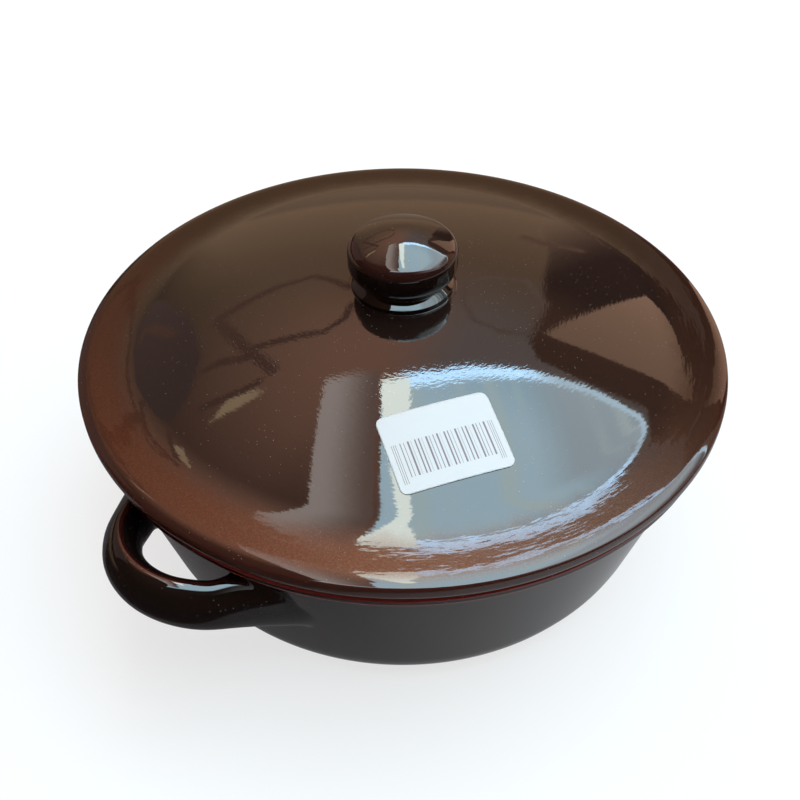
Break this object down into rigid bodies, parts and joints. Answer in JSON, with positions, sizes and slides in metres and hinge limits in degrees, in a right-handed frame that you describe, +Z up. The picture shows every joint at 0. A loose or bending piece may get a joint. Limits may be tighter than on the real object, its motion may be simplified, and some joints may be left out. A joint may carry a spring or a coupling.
{
  "type": "lidded casserole pan",
  "caption": "Round glazed earthenware casserole pan with two pulled strap handles and a loose domed lid with a round knob.",
  "frame": {"origin": "middle of the flat base, in the plane that the pan stands on", "axes": "+X runs out through one handle and -X through the other, +Z is up through the lid's knob"},
  "size_m": [0.2856, 0.248, 0.1351],
  "materials": {
    "glazed_clay": "deep brown glossy glaze over red-brown clay, paler and redder where it runs thin on edges",
    "label_paper": "white coated paper, satin"
  },
  "bodies": {
    "pan": {"pan_body": "glazed_clay", "handle_left": "glazed_clay", "handle_right": "glazed_clay"},
    "lid": {"lid": "glazed_clay", "knob": "glazed_clay", "label": "label_paper"}
  },
  "joints": [
    {"name": "lid_lift", "type": "slide", "parent": "pan", "child": "lid", "axis": [0, 0, 1], "range_m": [0, 0.15]}
  ]
}
